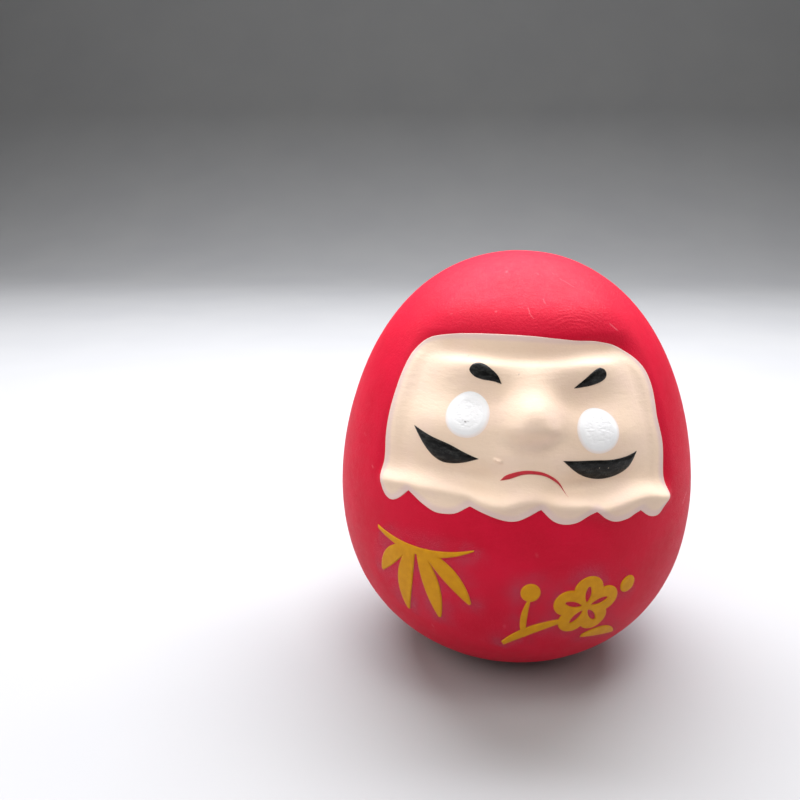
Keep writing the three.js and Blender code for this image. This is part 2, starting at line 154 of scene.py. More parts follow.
def beard_height(az):
    xs, ys = BEARD_AZIMUTH, BEARD_HEIGHT
    m = np.gradient(ys, xs)
    x = np.clip(az, xs[0], xs[-1])
    i = np.clip(np.searchsorted(xs, x, side="right") - 1, 0, len(xs) - 2)
    h = xs[i + 1] - xs[i]
    t = (x - xs[i]) / h
    return (
        (2 * t**3 - 3 * t**2 + 1) * ys[i]
        + (t**3 - 2 * t**2 + t) * h * m[i]
        + (-2 * t**3 + 3 * t**2) * ys[i + 1]
        + (t**3 - t**2) * h * m[i + 1]
    )


def nose(az, z):
    """A ball that rises slowly from the brow and turns in sharply over the lip."""
    u = np.abs(az - 0.9)
    v = z - 41.3 - 0.004 * u * u
    low = 1 - smoothstep(-1.3, 1.3, v)
    across = np.exp(-0.5 * (u / (5.7 + 0.5 * low)) ** (2.2 + 0.6 * low))
    return 2.8 * across * np.exp(-0.5 * (np.abs(v) / (2.35 - 0.92 * low)) ** (2.2 + 0.6 * low))


def relief(az, z):
    """How far the modelled surface stands off the plain egg, in mm. The same form as the CAD's."""
    az, z = np.broadcast_arrays(np.asarray(az, float), np.asarray(z, float))
    a = np.abs(az)
    h = -1.0 * (1 - smoothstep(40, 52, a)) * smoothstep(30.2, 33.4, z) * (1 - smoothstep(48.2, 51.3, z))
    h = h + 0.55 * np.exp(-0.5 * ((z - 53.4) / 1.7) ** 2) * (1 - smoothstep(34, 58, a))
    h = h - 0.8 * np.exp(-0.5 * ((z - 49.6) / 0.8) ** 2) * (1 - smoothstep(30, 46, a))
    for k, az0, z0, sa, up, down in BUMPS:
        s = np.where(z > z0, up, down)
        h = h + k * np.exp(-0.5 * (((az - az0) / sa) ** 2 + ((z - z0) / s) ** 2))
    h = h + 1.0 * np.exp(-0.5 * ((z - beard_height(az)) / 0.75) ** 2) * (1 - smoothstep(43, 50, a))
    return h + nose(az, z)


def hand_made(az, z):
    """The paper's slow unevenness, fading out towards the foot. The fine creases pressed into the fold over the brow
    are made in creases().
    """
    az, z = np.broadcast_arrays(np.asarray(az, float), np.asarray(z, float))
    r, _, _, _ = egg(t_at(z))
    x, y = r * np.sin(az * DEG), -r * np.cos(az * DEG)
    h = 0.035 * noise(x / 7 + 3, y / 7, z / 7) + 0.012 * noise(x / 2.3, y / 2.3 + 9, z / 2.3)
    foot = smoothstep(0, 4, z)
    return h * foot - 0.03


def creases(az, z):
    az, z = np.broadcast_arrays(np.asarray(az, float), np.asarray(z, float))
    u, v = (az - 19) * DEG * 16, (z - 50.5) * 1.35
    reach = np.hypot(u, v * 1.2) + 0.38 * noise(u / 1.3, v / 1.3, 3.0)
    mask = np.exp(-0.5 * (((az - 20) / 10) ** 2 + ((z - 52.6) / 1.0) ** 2))
    wide = np.exp(-0.5 * (((az - 18) / 22) ** 2 + ((z - 52.6) / 1.2) ** 2))
    arcs = (0.5 + 0.5 * np.cos(2 * math.pi * reach / 0.62)) ** 1.5
    s = arc(z) + 0.5 * noise(u / 2.2, arc(z) / 1.4, 4.0)
    fold = 1 - np.abs(noise(u / 1.5, s / 0.33, 1.7)) * 2.2
    return -0.022 * mask * arcs - 0.02 * wide * np.clip(fold, 0, 1) ** 2


def place(az, z, off, with_relief=True):
    """Points of the skin, moved outwards by off, in mm."""
    az, z, off = np.broadcast_arrays(np.asarray(az, float), np.asarray(z, float), np.asarray(off, float))
    r, zz, nr, nz = egg(t_at(z))
    h = off + SKIN
    if with_relief:
        h = h + relief(az, z) + hand_made(az, z) + creases(az, z)
    rr = np.maximum(r + h * nr, 0)
    return np.stack([rr * np.sin(az * DEG), -rr * np.cos(az * DEG), zz + h * nz], -1)


# ------------------------------------------------------------------ meshes
def add_mesh(name, verts, faces, material, nodes=(), sharp=40):
    me = bpy.data.meshes.new(name)
    me.from_pydata((np.asarray(verts) * MM).tolist(), [], [tuple(int(i) for i in f) for f in faces])
    bm = bmesh.new()
    bm.from_mesh(me)
    bmesh.ops.recalc_face_normals(bm, faces=bm.faces)
    bm.to_mesh(me)
    bm.free()
    me.shade_smooth()
    me.set_sharp_from_angle(angle=math.radians(sharp))
    me.materials.append(material)
    ob = bpy.data.objects.new(name, me)
    bpy.context.scene.collection.objects.link(ob)
    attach(ob, "root")
    if nodes:
        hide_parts(*nodes)
    return ob


def zip_loops(a, ta, b, tb):
    """Triangles between two closed loops of vertices that run the same way, by their parameters from 0 to 1."""
    a, b = list(a) + [a[0]], list(b) + [b[0]]
    ta, tb = list(ta) + [1.0], list(tb) + [1.0]
    i = j = 0
    faces = []
    while i < len(a) - 1 or j < len(b) - 1:
        if j == len(b) - 1 or (i < len(a) - 1 and ta[i + 1] <= tb[j + 1]):
            faces.append((a[i], b[j], a[i + 1]))
            i += 1
        else:
            faces.append((a[i], b[j], b[j + 1]))
            j += 1
    return faces


def half_shell(az, rows, az_in, rows_in):
    """A half of the shell. rows are (height, offset, relief or not) from just under the crown down."""
    verts, faces, loops = [], [], []
    for cols, lines in ((az, rows), (az_in, rows_in)):
        base = len(verts)
        top = place(0.0, EGG_LENGTH - EGG_FLAT, lines[0][1], lines[0][2])
        top[:2] = 0
        verts.append(top)
        n = len(cols)
        for z, off, rel in lines:
            verts.extend(place(cols, z, off, rel))
        grid = base + 1 + np.arange(len(lines) * n).reshape(len(lines), n)
        for i in range(n - 1):
            faces.append((base, grid[0, i], grid[0, i + 1]))
        for j in range(len(lines) - 1):
            a, b, c, d = grid[j, :-1], grid[j + 1, :-1], grid[j + 1, 1:], grid[j, 1:]
            faces.extend(np.stack([a, b, c, d], 1).tolist())
        m = len(lines)
        ts = [t_at(z) for z, _, _ in lines]
        loop = list(grid[-1, :]) + list(grid[m - 2 :: -1, -1]) + [base] + list(grid[: m - 1, 0])
        f = (np.asarray(cols) - cols[0]) / (cols[-1] - cols[0])
        k = np.array([ts[-1] - t for t in ts]) / ts[-1]
        prm = list(f / 3) + list((1 + k[m - 2 :: -1]) / 3) + [2 / 3] + list((3 - k[: m - 1]) / 3)
        loops.append((loop, np.maximum.accumulate(prm)))
    faces.extend(zip_loops(loops[0][0], loops[0][1], loops[1][0], loops[1][1]))
    verts = np.array(verts)
    return verts, faces


def turned(profile, segments, wobble=None):
    """A closed solid of revolution from (r, z) pairs that start and end on the axis, or close on themselves."""
    profile = np.asarray(profile, float)
    on_axis = profile[0, 0] == 0
    a = np.arange(segments) / segments * 2 * math.pi
    verts, faces, rings = [], [], []
    for r, z in profile:
        if r == 0:
            rings.append([len(verts)])
            verts.append([0, 0, z])
            continue
        w = 0 if wobble is None else wobble(a, r, z)
        rings.append(list(range(len(verts), len(verts) + segments)))
        verts.extend(np.stack([(r + w) * np.sin(a), -(r + w) * np.cos(a), np.full(segments, z)], 1))
    if not on_axis:
        rings.append(rings[0])
    for p, q in zip(rings, rings[1:]):
        for i in range(segments):
            j = (i + 1) % segments
            if len(p) == 1:
                faces.append((p[0], q[i], q[j]))
            elif len(q) == 1:
                faces.append((p[i], q[0], p[j]))
            else:
                faces.append((p[i], q[i], q[j], p[j]))
    return np.array(verts), faces


# --------------------------------------------------------- painted outlines
FLAT = 24 * DEG  # mm of flat drawing per degree of azimuth


def catmull(p0, p1, p2, p3, n):
    d = [max(np.linalg.norm(b - a) ** 0.5, 1e-4) for a, b in ((p0, p1), (p1, p2), (p2, p3))]
    t1 = ((p1 - p0) / d[0] - (p2 - p0) / (d[0] + d[1]) + (p2 - p1) / d[1]) * d[1]
    t2 = ((p2 - p1) / d[1] - (p3 - p1) / (d[1] + d[2]) + (p3 - p2) / d[2]) * d[1]
    t = (np.arange(n) / n)[:, None]
    return (
        (2 * t**3 - 3 * t**2 + 1) * p1 + (t**3 - 2 * t**2 + t) * t1 + (-2 * t**3 + 3 * t**2) * p2 + (t**3 - t**2) * t2
    )


def smooth_outline(points, step):
    """A closed outline in flat mm through (azimuth, height) points. A third entry marks a corner."""
    xy = np.array([[p[0] * FLAT, float(arc(p[1]))] for p in points])
    n = len(xy)
    corners = [i for i, p in enumerate(points) if len(p) > 2]
    out = []
    for i in range(n):
        p1, p2 = xy[i], xy[(i + 1) % n]
        p0 = 2 * p1 - p2 if i in corners else xy[i - 1]
        p3 = 2 * p2 - p1 if (i + 1) % n in corners else xy[(i + 2) % n]
        count = max(2, int(round(np.linalg.norm(p2 - p1) / step)))
        out.extend(catmull(p0, p1, p2, p3, count))
    return np.array(out)


def straight_outline(points, step):
    xy = np.asarray(points, float)
    out = []
    for p, q in zip(xy, np.roll(xy, -1, 0)):
        count = max(1, int(round(np.linalg.norm(q - p) / step)))
        out.extend(p + (q - p) * (np.arange(count) / count)[:, None])
    return np.array(out)


def edge_distance(points, outline):
    a, b = outline, np.roll(outline, -1, 0)
    ab = b - a
    l2 = np.maximum((ab**2).sum(1), 1e-12)
    out = np.empty(len(points))
    for i in range(0, len(points), 2000):
        p = points[i : i + 2000, None, :]
        t = np.clip(((p - a) * ab).sum(2) / l2, 0, 1)
        q = a + t[..., None] * ab
        out[i : i + 2000] = np.sqrt(((p - q) ** 2).sum(2)).min(1)
    return out


def inside(points, outline):
    x, y = points[:, 0], points[:, 1]
    odd = np.zeros(len(points), bool)
    for (x0, y0), (x1, y1) in zip(outline, np.roll(outline, -1, 0)):
        if y0 == y1:
            continue
        hit = (y0 > y) != (y1 > y)
        odd ^= hit & (x < x0 + (y - y0) * (x1 - x0) / (y1 - y0))
    return odd


def fill(outline, extra, gap, ring_gaps=()):
    """Triangles of an outline with rows of points inside it, gap apart."""
    lo, hi = outline.min(0), outline.max(0)
    gx, gy = np.meshgrid(np.arange(lo[0], hi[0], gap), np.arange(lo[1], hi[1], gap * 0.87))
    gx = gx + (np.arange(gx.shape[0]) % 2)[:, None] * gap / 2
    pts = np.stack([gx.ravel(), gy.ravel()], 1)
    pts = pts[inside(pts, outline)]
    reach = max([0, *ring_gaps])
    d = edge_distance(pts, outline)
    pts = pts[d > reach + 0.55 * gap]
    sets = [outline, pts]
    tangent = np.roll(outline, -1, 0) - np.roll(outline, 1, 0)
    tangent /= np.maximum(np.linalg.norm(tangent, axis=1), 1e-9)[:, None]
    normal = np.stack([-tangent[:, 1], tangent[:, 0]], 1)
    if not inside(outline[:1] + normal[:1] * 0.01, outline)[0]:
        normal = -normal
    for g in ring_gaps:
        ring = outline + normal * g
        ok = inside(ring, outline)
        ring = ring[ok]
        ring = ring[edge_distance(ring, outline) > g * 0.97]
        sets.append(ring)
    if len(extra):
        sets.append(extra)
    every = np.concatenate(sets)
    n = len(outline)
    verts, _, tris, origin, _, _ = delaunay_2d_cdt(
        [Vector(p) for p in every], [], [list(range(n))], 1, 1e-7
    )
    verts = np.array([[v.x, v.y] for v in verts])
    rim = {}
    for k, o in enumerate(origin):
        for i in o:
            if i < n:
                rim[i] = k
    return verts, [tuple(f) for f in tris], [rim[i] for i in range(n) if i in rim]


def coat(name, outline, base, thick, gap, rings, material, nodes=(), sink=0.06, under=None, sharp=60):
    """A layer of paint over the skin: a fine top, a plain underside and the rim between them.

    base and thick give, for azimuth and height, the offset of what lies below and the layer's own thickness there,
    thick from the distance to the outline too.
    """
    top, tris, rim = fill(outline, [], gap, rings)
    az, z = top[:, 0] / FLAT, z_of_arc(top[:, 1])
    d = edge_distance(top, outline)
    upper = place(az, z, base(az, z) + thick(d, az, z))
    low, ltris, lrim = fill(outline[:: 1], [], under or gap * 4)
    laz, lz = low[:, 0] / FLAT, z_of_arc(low[:, 1])
    lower = place(laz, lz, base(laz, lz) - sink)
    n = len(upper)
    faces = list(tris) + [(n + a, n + c, n + b) for a, b, c in ltris]
    lrim = [n + k for k in lrim]
    if len(rim) == len(lrim):
        for i in range(len(rim)):
            j = (i + 1) % len(rim)
            faces.append((rim[i], lrim[i], lrim[j], rim[j]))
    else:
        raise RuntimeError(f"{name}: rims differ, {len(rim)} and {len(lrim)}")
    return add_mesh(name, np.concatenate([upper, lower]), faces, material, nodes, sharp)


def rounded(t, w):
    """Thickness t with its edge rounded over the width w."""
    return lambda d, az, z: 0.015 + (t - 0.015) * np.sqrt(np.clip(1 - (1 - np.minimum(d / w, 1)) ** 2, 0, 1))


FACE = [
    [-40, 50.5], [-30, 51.0], [-15, 51.25], [-1, 51.2], [10, 50.95], [19, 50.7], [29, 50.5],
    [37.5, 49.95], [42.4, 49.1], [45.9, 47.9], [48.2, 46.3], [48.7, 44.3], [48.0, 42.3],
    [47.3, 40.6], [47.6, 37.2], [46.9, 33.6], [46.1, 30.8], [44.7, 29.3], [42.6, 28.5],
    [40.4, 28.4], [37.6, 28.8], [34.3, 29.85, 1], [32.2, 29.6], [29.7, 29.2], [25.5, 29.1],
    [22.6, 29.6], [18.6, 30.95, 1], [13.8, 29.65], [10.2, 29.45], [7.0, 29.9], [3.4, 31.4, 1],
    [-0.6, 30.35], [-2.9, 29.9], [-5.3, 29.8], [-8.4, 30.05], [-12.2, 30.6], [-16.1, 31.2, 1],
    [-20.4, 30.0], [-24.2, 29.7], [-26.6, 29.75], [-31, 30.5], [-35.6, 31.6, 1],
    [-39.6, 30.0], [-42.2, 29.6], [-44.4, 29.9], [-46.1, 30.7], [-47.7, 32.6], [-47.8, 34.2],
    [-48.9, 38.4], [-49.5, 43.5], [-49.5, 45.9], [-48.5, 48.2], [-46.1, 49.5], [-43.2, 50.15],
]
BROW_LEFT = [
    [-21.3, 47.15], [-20.6, 47.75], [-18.6, 48.05], [-16.2, 47.95], [-13.4, 47.45], [-11, 46.8],
    [-9.6, 45.95, 1], [-12.6, 46.2], [-16.6, 46.3], [-19.4, 46.55],
]
BROW_RIGHT = [
    [28.1, 46.75], [27.4, 47.2], [25.6, 47.45], [23.0, 47.15], [20.4, 46.6], [17.9, 46.05],
    [15.7, 45.55, 1], [19, 45.6], [22.4, 45.7], [25.6, 45.95], [27.5, 46.3],
]
MOUSTACHE_LEFT = [
    [-37.6, 39.75, 1], [-34.6, 38.4], [-31.8, 37.15], [-29.6, 36.4], [-27, 35.95], [-23.6, 35.95],
    [-19.6, 36.3], [-14.9, 37.0, 1], [-19.4, 37.6], [-24, 38.3], [-30.3, 38.9],
]
MOUSTACHE_RIGHT = [
    [9.9, 37.15, 1], [13.2, 35.95], [16.2, 35.15], [20.2, 34.55], [24.6, 34.4], [28.9, 34.7],
    [32.2, 35.4], [35.3, 37.25, 1], [31.6, 36.9], [26, 36.75], [19.6, 36.95], [14, 37.05],
]
MOUTH = [
    [-8.3, 34.55, 1], [-6.7, 35.25], [-2, 35.95], [1.2, 36.0], [4.4, 35.75], [7.9, 34.95],
    [9.7, 34.15], [11.3, 32.7, 1], [9.4, 34.0], [7.4, 34.7], [4.5, 35.35], [0.9, 35.58],
    [-2, 35.45], [-5.6, 34.85],
]
EYES = {"left": (-19.7, 42.1, 7.1, 2.74), "right": (21.5, 40.4, 6.9, 2.72)}
FILM_EDGE = [
    [-50.5, 21], [-48, 24.2], [-42, 26.6], [-33, 27.3], [-22, 27.3], [-13, 26.6], [-8, 24.6],
    [0, 23.7], [10, 24.5], [20, 24.6], [29, 23.2], [35.5, 19.4], [38, 14.6], [36.4, 10.6],
    [29, 8.8], [18, 9.3], [6, 9.3], [-6, 9.6], [-16, 11.2], [-28, 12.2], [-39, 12.4],
    [-47, 14.2], [-50.6, 17.4],
]


# ------------------------------------------------------------ gold transfer
def spread(at, shape):
    """A motif drawn in mm across and up from its middle, as flat points on the skin."""
    shape = np.asarray(shape, float)
    return np.stack([(at[0] + shape[:, 0] * 2.24) * FLAT, arc(at[1] + shape[:, 1])], 1)


def leaf(a, b, width, bow=0.0, count=26, blunt=0.15):
    a, b = np.array(a, float), np.array(b, float)
    d = b - a
    length = np.hypot(*d)
    nrm = np.array([-d[1], d[0]]) / length
    s = (np.arange(count + 1) / count)[:, None]
    mid = a + d * s + nrm * 4 * s * (1 - s) * bow
    w = width / 2 * (np.sin(math.pi * np.minimum(1, s * 0.92 + 0.04)) ** 0.8 + blunt * (1 - s))
    return np.concatenate([mid + nrm * w, (mid - nrm * w)[::-1]])


def disc(u, v, ru, rv, count=40):
    b = np.arange(count) / count * 2 * math.pi
    return np.stack([u + ru * np.cos(b), v + rv * np.sin(b)], 1)


BAMBOO_AT = (-30.5, 19.2)
BAMBOO = [
    leaf([-7.4, 5.9], [7.2, 6.3], 0.95, -1.5, 26, 0.3),
    leaf([-1.9, 4.9], [-7.3, -0.6], 2.0, -0.5),
    leaf([-1.2, 5.0], [-3.6, -5.8], 2.3, -0.5),
    leaf([-0.3, 5.0], [2.0, -5.2], 2.3, 0.5),
    leaf([0.5, 5.0], [6.7, -1.7], 2.1, 0.6),
]
PLUM_AT = (13.5, 16.6)
PLUM_MIDDLE = np.array([2.3, 0.9])


def petal(k, reach, size):
    a = (90 + 72 * k) * DEG
    return disc(PLUM_MIDDLE[0] + reach * math.cos(a), PLUM_MIDDLE[1] + reach * math.sin(a), size, size, 56)


def stamen(k):
    a = (90 + 72 * k) * DEG
    way = np.array([math.cos(a), math.sin(a)])
    return leaf(PLUM_MIDDLE + 3.1 * way, PLUM_MIDDLE + 0.75 * way, 0.75, 0, 14)


BUD = disc(8.2, 3.2, 1.15, 1.25)
PLUM = [
    disc(-5.3, 3.6, 1.25, 1.35),
    *[petal(k, 2.65, 2.0) for k in range(5)],
    petal(0, 0, 1.6),
    leaf([-8.6, -5.6], [0.6, -0.9], 1.15, 0.9, 26, 0.5),
    leaf([-5.6, -4.0], [-5.2, 3.1], 0.7, 0.5, 20, 0.5),
]
LEAF_RIGHT = leaf([3.0, -4.6], [9.4, -5.6], 1.7, 0.7)


def motif(name, shapes, holes, base, thick, gap, material, nodes, sink=0.05):
    """A printed layer made of overlapping outlines less some others."""
    points, edges = [], []
    for o in [*shapes, *holes]:
        k = len(points)
        points.extend(o)
        edges.extend((k + i, k + (i + 1) % len(o)) for i in range(len(o)))
    lo, hi = np.min(points, 0), np.max(points, 0)
    gx, gy = np.meshgrid(np.arange(lo[0], hi[0], gap), np.arange(lo[1], hi[1], gap * 0.87))
    gx = gx + (np.arange(gx.shape[0]) % 2)[:, None] * gap / 2
    grid = np.stack([gx.ravel(), gy.ravel()], 1)
    far = np.ones(len(grid), bool)
    for o in [*shapes, *holes]:
        far &= edge_distance(grid, o) > 0.4 * gap
    grid = grid[far]
    verts, _, tris, _, _, _ = delaunay_2d_cdt(
        [Vector(p) for p in [*points, *grid]], edges, [], 0, 1e-6
    )
    flat = np.array([[v.x, v.y] for v in verts])
    tris = np.array([tuple(f) for f in tris])
    middle = flat[tris].mean(1)
    keep = np.zeros(len(tris), bool)
    for o in shapes:
        keep |= inside(middle, o)
    for o in holes:
        keep &= ~inside(middle, o)
    tris = tris[keep]
    used = np.unique(tris)
    index = -np.ones(len(flat), int)
    index[used] = np.arange(len(used))
    flat, tris = flat[used], index[tris]
    side = {}
    for a, b, c in tris:
        for e in ((a, b), (b, c), (c, a)):
            side[e] = True
    rim = [e for e in side if (e[1], e[0]) not in side]
    a = flat[[e[0] for e in rim]]
    b = flat[[e[1] for e in rim]]
    ab = b - a
    l2 = np.maximum((ab**2).sum(1), 1e-12)
    d = np.empty(len(flat))
    for i in range(0, len(flat), 2000):
        p = flat[i : i + 2000, None, :]
        t = np.clip(((p - a) * ab).sum(2) / l2, 0, 1)
        d[i : i + 2000] = np.sqrt(((p - a - t[..., None] * ab) ** 2).sum(2)).min(1)
    az, z = flat[:, 0] / FLAT, z_of_arc(flat[:, 1])
    upper = place(az, z, base + thick(d, az, z))
    lower = place(az, z, base - sink)
    n = len(flat)
    faces = [tuple(t) for t in tris] + [(n + t[0], n + t[2], n + t[1]) for t in tris]
    faces += [(int(i), int(i) + n, int(j) + n, int(j)) for i, j in rim]
    return add_mesh(name, np.concatenate([upper, lower]), faces, material, nodes, 60)


# --------------------------------------------------------------- materials
class Nodes:
    """Small helper to write a material's nodes in one line each."""

    def __init__(self, name):
        self.material = bpy.data.materials.new(name)
        self.material.use_nodes = True
        self.tree = self.material.node_tree
        self.tree.nodes.clear()
        self.out = self.tree.nodes.new("ShaderNodeOutputMaterial")
        self.shader = self.tree.nodes.new("ShaderNodeBsdfPrincipled")
        self.tree.links.new(self.shader.outputs[0], self.out.inputs[0])
        coord = self.tree.nodes.new("ShaderNodeTexCoord")
        scale = self.tree.nodes.new("ShaderNodeVectorMath")
        scale.operation = "SCALE"
        scale.inputs["Scale"].default_value = 1000
        self.tree.links.new(coord.outputs["Object"], scale.inputs[0])
        self.mm = scale.outputs[0]

    def set(self, **values):
        for k, v in values.items():
            self.shader.inputs[k.replace("_", " ")].default_value = v
        return self

    def link(self, source, socket):
        self.tree.links.new(source, self.shader.inputs[socket])

    def _put(self, node, socket, value):
        if isinstance(value, bpy.types.NodeSocket):
            self.tree.links.new(value, node.inputs[socket])
        else:
            node.inputs[socket].default_value = value

    def noise(self, per_mm, detail=2.0, rough=0.5, stretch=None, distortion=0.0):
        n = self.tree.nodes.new("ShaderNodeTexNoise")
        n.inputs["Scale"].default_value = per_mm
        n.inputs["Detail"].default_value = detail
        n.inputs["Roughness"].default_value = rough
        n.inputs["Distortion"].default_value = distortion
        self.tree.links.new(self.stretched(stretch), n.inputs["Vector"])
        return n.outputs["Fac"]

    def stretched(self, stretch):
        if stretch is None:
            return self.mm
        m = self.tree.nodes.new("ShaderNodeVectorMath")
        m.operation = "MULTIPLY"
        self.tree.links.new(self.mm, m.inputs[0])
        m.inputs[1].default_value = stretch
        return m.outputs[0]

    def voronoi(self, per_mm, feature="F1"):
        n = self.tree.nodes.new("ShaderNodeTexVoronoi")
        n.feature = feature
        n.inputs["Scale"].default_value = per_mm
        self.tree.links.new(self.mm, n.inputs["Vector"])
        return n.outputs["Distance"], n.outputs["Color"] if "Color" in n.outputs else None

    def ramp(self, fac, *stops):
        n = self.tree.nodes.new("ShaderNodeValToRGB")
        self.tree.links.new(fac, n.inputs[0])
        e = n.color_ramp.elements
        while len(e) < len(stops):
            e.new(0.5)
        for k, (p, c) in enumerate(stops):
            e[k].position = p
            e[k].color = (*c, 1) if len(c) == 3 else c
        return n.outputs[0]

    def range(self, value, a, b, c=0.0, d=1.0):
        n = self.tree.nodes.new("ShaderNodeMapRange")
        self._put(n, 0, value)
        for k, v in enumerate((a, b, c, d)):
            n.inputs[k + 1].default_value = v
        return n.outputs[0]

    def math(self, op, a, b=0.5):
        n = self.tree.nodes.new("ShaderNodeMath")
        n.operation = op
        self._put(n, 0, a)
        self._put(n, 1, b)
        return n.outputs[0]

    def mix(self, fac, a, b):
        n = self.tree.nodes.new("ShaderNodeMix")
        n.data_type = "RGBA"
        self._put(n, 0, fac)
        for socket, value in ((6, a), (7, b)):
            self._put(n, socket, value if isinstance(value, bpy.types.NodeSocket) else (*value, 1))
        return n.outputs[2]

    def attribute(self, name):
        n = self.tree.nodes.new("ShaderNodeAttribute")
        n.attribute_name = name
        return n.outputs["Fac"]

    def bump(self, height, strength, distance_mm, under=None):
        n = self.tree.nodes.new("ShaderNodeBump")
        n.inputs["Strength"].default_value = strength
        n.inputs["Distance"].default_value = distance_mm * MM
        self.tree.links.new(height, n.inputs["Height"])
        if under is not None:
            self.tree.links.new(under, n.inputs["Normal"])
        return n.outputs[0]


def red_material():
    m = Nodes("red_lacquered_paper")
    slow = m.noise(0.16, 3, 0.55)
    colour = m.ramp(slow, (0.25, (0.56, 0.0022, 0.023)), (0.75, (0.65, 0.0035, 0.032)))
    fine = m.noise(5.0, 3, 0.6)
    colour = m.mix(m.range(fine, 0.35, 0.75, 0, 0.2), colour, (0.78, 0.010, 0.05))
    colour = m.mix(m.attribute("worn"), colour, (0.85, 0.33, 0.36))
    m.link(colour, "Base Color")
    m.link(m.range(m.noise(0.9, 4, 0.6), 0.3, 0.7, 0.50, 0.60), "Roughness")
    grain = m.noise(3.4, 4, 0.65)
    grain2 = m.noise(11.0, 2, 0.5)
    low = m.bump(grain, 0.9, 0.07)
    m.link(m.bump(grain2, 0.6, 0.016, low), "Normal")
    m.set(Specular_IOR_Level=0.14, Sheen_Weight=0.01, Sheen_Roughness=0.4)
    m.set(Sheen_Tint=(1.0, 0.62, 0.66, 1))
    return m.material


def cream_material():
    m = Nodes("cream_chalk_paint")
    slow = m.noise(0.12, 3, 0.5)
    colour = m.ramp(slow, (0.3, (0.885, 0.665, 0.495)), (0.7, (0.92, 0.71, 0.54)))
    pinker = m.range(m.noise(0.22, 4, 0.6), 0.45, 0.7, 0, 0.35)
    colour = m.mix(pinker, colour, (0.90, 0.66, 0.56))
    speck = m.noise(1.9, 4, 0.6)
    colour = m.mix(m.range(speck, 0.5, 0.8, 0, 0.3), colour, (0.80, 0.60, 0.45))
    # darker pinkish-grey band along the face's outline: partly thin paint over the red, partly painted shade of the
    # recess under the hood
    edge_thin_paint_and_shade = m.math("MULTIPLY", m.attribute("edge"), m.range(m.noise(0.5, 3, 0.5), 0.3, 0.7, 0.75, 1.0))
    colour = m.mix(edge_thin_paint_and_shade, colour, (0.80, 0.59, 0.535))
    colour = m.mix(m.attribute("worn"), colour, (0.16, 0.12, 0.10))
    m.link(colour, "Base Color")
    m.link(m.range(m.noise(1.4, 3, 0.5), 0.3, 0.7, 0.55, 0.68), "Roughness")
    streak = m.noise(1.3, 4, 0.6, (0.45, 0.45, 1.4))
    low = m.bump(streak, 0.75, 0.07)
    low = m.bump(m.noise(3.2, 3, 0.6), 0.6, 0.03, low)
    m.link(m.bump(m.noise(8.0, 3, 0.6), 0.5, 0.014, low), "Normal")
    m.set(Specular_IOR_Level=0.3)
    return m.material


def white_material():
    m = Nodes("white_chalk_paint")
    colour = m.ramp(m.noise(0.8, 4, 0.6), (0.3, (0.91, 0.90, 0.895)), (0.7, (0.95, 0.94, 0.93)))
    colour = m.mix(m.math("MULTIPLY", m.attribute("edge"), 0.95), colour, (0.88, 0.74, 0.67))
    colour = m.mix(m.attribute("worn"), colour, (0.18, 0.15, 0.14))
    m.link(colour, "Base Color")
    m.link(m.range(m.noise(2.0, 3, 0.5), 0.3, 0.7, 0.65, 0.8), "Roughness")
    low = m.bump(m.noise(2.6, 4, 0.7), 0.5, 0.05)
    m.link(m.bump(m.noise(9.0, 3, 0.6), 0.4, 0.015, low), "Normal")
    m.set(Specular_IOR_Level=0.35)
    return m.material


def black_material():
    m = Nodes("black_brush_paint")
    streak = m.noise(0.75, 5, 0.65, (1, 1, 2.4))
    colour = m.ramp(streak, (0.46, (0.0022, 0.0019, 0.0017)), (0.72, (0.045, 0.046, 0.042)))
    grain = m.noise(5.0, 3, 0.6)
    colour = m.mix(m.range(grain, 0.35, 0.65, 0.55, 0), colour, (0.0025, 0.0022, 0.002))
    dots, _ = m.voronoi(0.9)
    colour = m.mix(m.range(dots, 0.07, 0.045), colour, (0.42, 0.36, 0.28))
    m.link(colour, "Base Color")
    m.link(m.range(m.noise(1.6, 4, 0.6), 0.3, 0.7, 0.24, 0.36), "Roughness")
    low = m.bump(m.noise(1.7, 4, 0.65, (1, 1, 2.2)), 0.8, 0.06)
    m.link(m.bump(m.noise(7.0, 3, 0.6), 0.7, 0.022, low), "Normal")
    m.set(Specular_IOR_Level=0.18)
    return m.material


def lip_material():
    m = Nodes("red_brush_paint")
    colour = m.ramp(m.noise(1.4, 3, 0.6), (0.3, (0.50, 0.012, 0.022)), (0.7, (0.60, 0.02, 0.035)))
    m.link(colour, "Base Color")
    m.link(m.bump(m.noise(5.0, 3, 0.6), 0.4, 0.02), "Normal")
    m.link(m.range(m.noise(2.0, 2, 0.5), 0.3, 0.7, 0.4, 0.5), "Roughness")
    return m.material


def gold_material():
    m = Nodes("gold_print")
    colour = m.ramp(m.noise(0.9, 3, 0.5), (0.3, (0.60, 0.25, 0.003)), (0.72, (0.69, 0.315, 0.005)))
    fine = m.noise(7.0, 3, 0.6)
    colour = m.mix(m.range(fine, 0.5, 0.8, 0, 0.2), colour, (0.46, 0.2, 0.01))
    m.link(colour, "Base Color")
    m.link(m.range(m.noise(2.5, 3, 0.6), 0.3, 0.7, 0.42, 0.55), "Roughness")
    m.link(m.bump(m.noise(4.5, 4, 0.6), 0.3, 0.01), "Normal")
    m.set(Metallic=0.0, Specular_IOR_Level=0.15)
    return m.material


def film_material():
    m = Nodes("transfer_film")
    m.set(Base_Color=(0.44, 0.15, 0.24, 1), Specular_IOR_Level=0.25)
    cloud = m.range(m.noise(0.30, 4, 0.6), 0.38, 0.66, 0.15, 1.0)
    near = m.math("MULTIPLY", m.attribute("near"), 0.30)
    m.link(m.math("ADD", m.math("MULTIPLY", cloud, near), 0.006), "Alpha")
    m.link(m.range(m.noise(1.5, 3, 0.5), 0.3, 0.7, 0.46, 0.56), "Roughness")
    m.link(m.bump(m.noise(2.0, 4, 0.6), 0.3, 0.02), "Normal")
    return m.material


